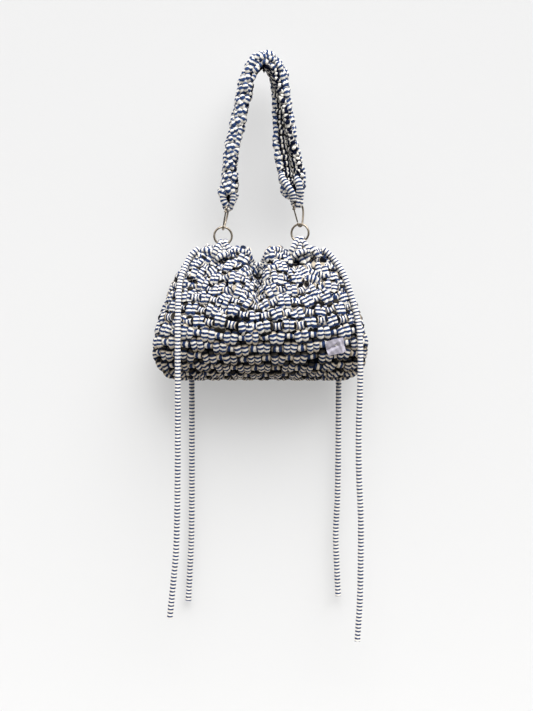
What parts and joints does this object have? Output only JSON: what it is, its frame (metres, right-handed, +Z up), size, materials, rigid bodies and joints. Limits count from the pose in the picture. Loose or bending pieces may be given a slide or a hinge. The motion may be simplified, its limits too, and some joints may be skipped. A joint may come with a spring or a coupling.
{
  "type": "crochet shoulder bag",
  "caption": "Crocheted cord pouch bag with a gathered drawstring mouth, clipped shoulder strap, metal rings and long hanging drawstring ends.",
  "frame": {"origin": "where the hook holds the strap, at the top of the strap's inner side", "axes": "+X to the right as seen from the front, +Y to the wall behind, +Z up"},
  "size_m": [0.303, 0.113, 0.8206],
  "materials": {
    "crochet": "matt cotton cord, blue and cream stripes, crocheted",
    "cord": "matt cotton cord, dark blue and cream stripes",
    "nickel": "polished warm nickel plate",
    "label": "pale satin label cloth, bare"
  },
  "bodies": {
    "bag": {"bag_body": "crochet", "strap": "crochet", "strap_loop_left": "cord", "strap_loop_right": "cord", "clip_frame_left": "nickel", "clip_frame_right": "nickel", "ring_left": "nickel", "ring_right": "nickel", "ring_tab_left": "cord", "ring_tab_right": "cord", "drawstring_bridge": "cord", "tail_left_front": "cord", "tail_left_back": "cord", "tail_right_front": "cord", "tail_right_back": "cord", "label": "label"},
    "gate_left": {"clip_gate_left": "nickel"},
    "gate_right": {"clip_gate_right": "nickel"}
  },
  "joints": [
    {"name": "gate_left_hinge", "type": "hinge", "parent": "bag", "child": "gate_left", "pos_m": [-0.05624, -0.00837, -0.19889], "axis": [0.9686, -0.1392, -0.2059], "range_deg": [0, 25], "stiffness_Nm_per_rad": 0.01},
    {"name": "gate_right_hinge", "type": "hinge", "parent": "bag", "child": "gate_right", "pos_m": [0.03898, -0.00587, -0.19517], "axis": [0.6909, -0.7193, 0.0726], "range_deg": [0, 25], "stiffness_Nm_per_rad": 0.01}
  ]
}
